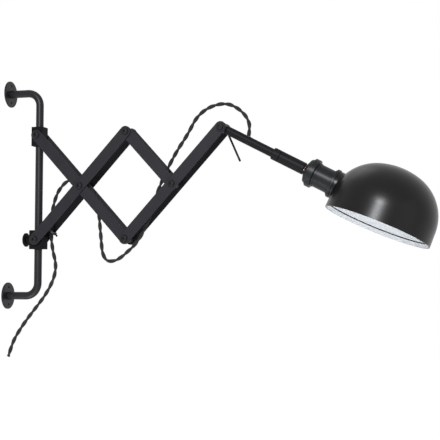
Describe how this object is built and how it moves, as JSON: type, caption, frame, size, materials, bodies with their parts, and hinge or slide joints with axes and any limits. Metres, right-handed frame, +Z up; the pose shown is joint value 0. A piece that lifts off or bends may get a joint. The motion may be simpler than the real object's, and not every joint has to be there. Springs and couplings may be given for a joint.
{
  "type": "accordion wall lamp",
  "caption": "Wall lamp on a scissor arm of paired flat strips, sliding on a wall bar, with a tilting, turning head and a side-necked dome shade.",
  "frame": {"origin": "centre of the lower wall flange, on its back face", "axes": "+X out of the wall, +Y along the wall, +Z up"},
  "size_m": [0.8336, 0.2004, 0.5438],
  "materials": {
    "bar_coat": "satin powder coat",
    "arm_coat": "fine matt powder coat",
    "collar_coat": "satin powder coat",
    "head_coat": "satin powder coat",
    "holder_coat": "semi-gloss black",
    "shade_coat": "semi-gloss black outside, white inside",
    "black_screw": "black oxide",
    "zinc": "zinc plated",
    "brass": "plain",
    "insulator": "glazed",
    "cord": "twisted textile braid",
    "lead": "silicone",
    "bush": "soft",
    "tie": "nylon"
  },
  "bodies": {
    "wall_bracket": {"wall_bar": "bar_coat", "lower_flange": "bar_coat", "upper_flange": "bar_coat"},
    "top_collar": {"upper_collar": "collar_coat", "collar_set_screw": "black_screw", "upper_pivot_screws": "black_screw", "upper_pivot_washers": "zinc"},
    "arm_a": {"arm_a_front_strip": "arm_coat", "arm_a_rear_strip": "arm_coat", "arm_a_spacers": "black_screw", "cord_swag": "cord"},
    "arm_b": {"arm_b_front_strip": "arm_coat", "arm_b_rear_strip": "arm_coat", "arm_b_pivot_bolts": "black_screw", "arm_b_lock_nuts": "black_screw", "arm_b_washers": "zinc", "cable_tie": "tie", "cord_back": "cord"},
    "arm_c": {"arm_c_front_strip": "arm_coat", "arm_c_rear_strip": "arm_coat", "arm_c_spacers": "black_screw"},
    "arm_d": {"arm_d_front_strip": "arm_coat", "arm_d_rear_strip": "arm_coat", "arm_d_pivot_bolts": "black_screw", "arm_d_lock_nuts": "black_screw", "arm_d_washers": "zinc", "tilt_bolt": "black_screw", "tilt_washers": "black_screw", "friction_washers": "tie", "cord_upper": "cord"},
    "bottom_collar": {"lower_collar": "collar_coat", "lower_pivot_screws": "black_screw", "lower_pivot_spacers": "black_screw", "cord_tail": "cord"},
    "knob": {"thumb_knob": "collar_coat", "thumb_knob_stud": "zinc"},
    "head": {"tilt_knuckle": "head_coat", "head_tube": "head_coat", "stop_ring": "head_coat", "cord_bush": "bush", "tube_leads": "lead"},
    "lamp": {"swivel_sleeve": "head_coat", "swivel_stop_screw": "black_screw", "nipple": "zinc", "lamp_leads": "lead", "lampholder_cap": "holder_coat", "lampholder_body": "holder_coat", "shade_ring_outer": "holder_coat", "shade_ring_inner": "holder_coat", "insulator": "insulator", "screw_shell": "brass", "centre_contact": "brass", "terminal_screws": "brass", "shade": "shade_coat"},
    "lever": {"clamp_nut": "head_coat", "clamp_lever": "head_coat"}
  },
  "joints": [
    {"name": "swivel", "type": "hinge", "parent": "wall_bracket", "child": "top_collar", "pos_m": [0.065, 0, 0.31444], "axis": [0, 0, 1], "range_deg": [-80, 80]},
    {"name": "fold", "type": "hinge", "parent": "top_collar", "child": "arm_a", "pos_m": [0.065, 0, 0.31444], "axis": [0, -1, 0], "range_deg": [-22.3, 32.7], "deforming": ["cord_upper", "cord_swag", "cord_back", "cord_tail"]},
    {"name": "arm_b_crossing", "type": "hinge", "parent": "arm_a", "child": "arm_b", "pos_m": [0.15821, 0, 0.212], "axis": [0, -1, 0], "range_deg": [-65.5, 44.7]},
    {"name": "bottom_slide_pivot", "type": "hinge", "parent": "arm_b", "child": "bottom_collar", "pos_m": [0.065, 0, 0.10956], "axis": [0, -1, 0], "range_deg": [-22.4, 32.8]},
    {"name": "arm_d_pivot", "type": "hinge", "parent": "arm_a", "child": "arm_d", "pos_m": [0.25142, 0, 0.10956], "axis": [0, -1, 0], "range_deg": [-65.5, 44.7]},
    {"name": "arm_c_pivot", "type": "hinge", "parent": "arm_b", "child": "arm_c", "pos_m": [0.25142, 0, 0.31444], "axis": [0, -1, 0], "range_deg": [-44.7, 65.5]},
    {"name": "knob_turn", "type": "hinge", "parent": "bottom_collar", "child": "knob", "pos_m": [0.045, 0, 0.10956], "axis": [-1, 0, 0], "continuous": true},
    {"name": "head_tilt", "type": "hinge", "parent": "arm_d", "child": "head", "pos_m": [0.43953, 0, 0.31629], "axis": [0, -1, 0], "range_deg": [-60, 75], "deforming": ["cord_upper"]},
    {"name": "lamp_turn", "type": "hinge", "parent": "head", "child": "lamp", "pos_m": [0.57234, 0, 0.24656], "axis": [0.8854, 0, -0.4648], "range_deg": [-150, 150]},
    {"name": "clamp_lever", "type": "hinge", "parent": "arm_d", "child": "lever", "pos_m": [0.43953, 0, 0.31629], "axis": [0, -1, 0], "range_deg": [-60, 90]}
  ],
  "couplings": [
    {"joint": "arm_b_crossing", "follows": "fold", "ratio": -2},
    {"joint": "arm_d_pivot", "follows": "fold", "ratio": -2},
    {"joint": "arm_c_pivot", "follows": "fold", "ratio": 2},
    {"joint": "bottom_slide_pivot", "follows": "fold", "ratio": 1}
  ]
}
